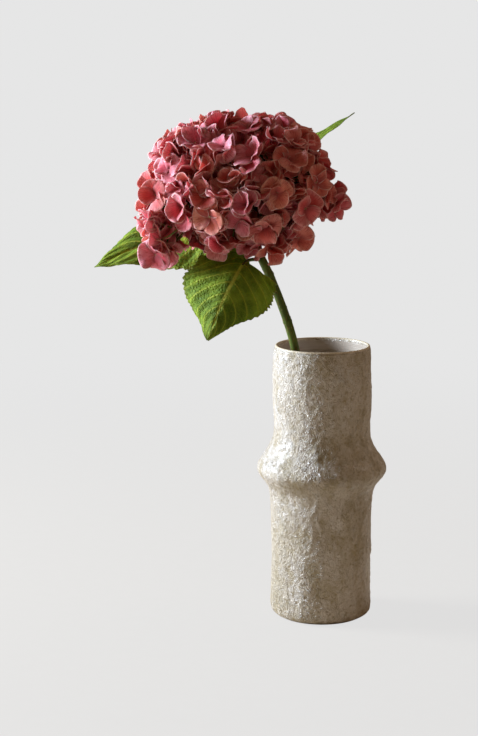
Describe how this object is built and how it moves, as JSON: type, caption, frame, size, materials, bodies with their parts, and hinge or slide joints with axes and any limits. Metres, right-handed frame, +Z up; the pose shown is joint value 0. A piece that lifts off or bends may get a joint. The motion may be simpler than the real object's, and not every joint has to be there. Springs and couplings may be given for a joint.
{
  "type": "hydrangea in a vase",
  "caption": "A single mophead hydrangea with serrated leaves, leaning in a tall stoneware vase with a flared collar at mid-height.",
  "frame": {"origin": "centre of the vase's flat underside", "axes": "+Z up along the vase; -Y is the front, the side that the flower head faces; the stem leans to -X"},
  "size_m": [0.305, 0.2053, 0.5322],
  "materials": {
    "vase_glaze": "glossy off-white glaze, crawled and pitted over a brown body",
    "stem_green": "satin green stem",
    "leaf_green": "satin leaf with raised paler veins",
    "petal_rose": "matt velvety petal, rose to coral with pale edges"
  },
  "bodies": {
    "root": {"branch_1": "stem_green", "branch_2": "stem_green", "branch_3": "stem_green", "branch_4": "stem_green", "branch_5": "stem_green", "branch_6": "stem_green", "floret_01": "petal_rose", "floret_02": "petal_rose", "floret_03": "petal_rose", "floret_04": "petal_rose", "floret_05": "petal_rose", "floret_06": "petal_rose", "floret_07": "petal_rose", "floret_08": "petal_rose", "floret_09": "petal_rose", "floret_10": "petal_rose", "floret_11": "petal_rose", "floret_12": "petal_rose", "floret_13": "petal_rose", "floret_14": "petal_rose", "floret_15": "petal_rose", "floret_16": "petal_rose", "floret_17": "petal_rose", "floret_18": "petal_rose", "floret_19": "petal_rose", "floret_20": "petal_rose", "floret_21": "petal_rose", "floret_22": "petal_rose", "floret_23": "petal_rose", "floret_24": "petal_rose", "floret_25": "petal_rose", "floret_26": "petal_rose", "floret_27": "petal_rose", "floret_28": "petal_rose", "floret_29": "petal_rose", "floret_30": "petal_rose", "floret_31": "petal_rose", "floret_32": "petal_rose", "floret_33": "petal_rose", "floret_34": "petal_rose", "floret_35": "petal_rose", "floret_36": "petal_rose", "floret_37": "petal_rose", "floret_38": "petal_rose", "floret_39": "petal_rose", "floret_40": "petal_rose", "floret_41": "petal_rose", "floret_42": "petal_rose", "floret_43": "petal_rose", "floret_44": "petal_rose", "floret_45": "petal_rose", "floret_46": "petal_rose", "floret_47": "petal_rose", "floret_48": "petal_rose", "leaf_front": "leaf_green", "leaf_left": "leaf_green", "leaf_right": "leaf_green", "stem": "stem_green", "vase": "vase_glaze"}
  },
  "joints": []
}
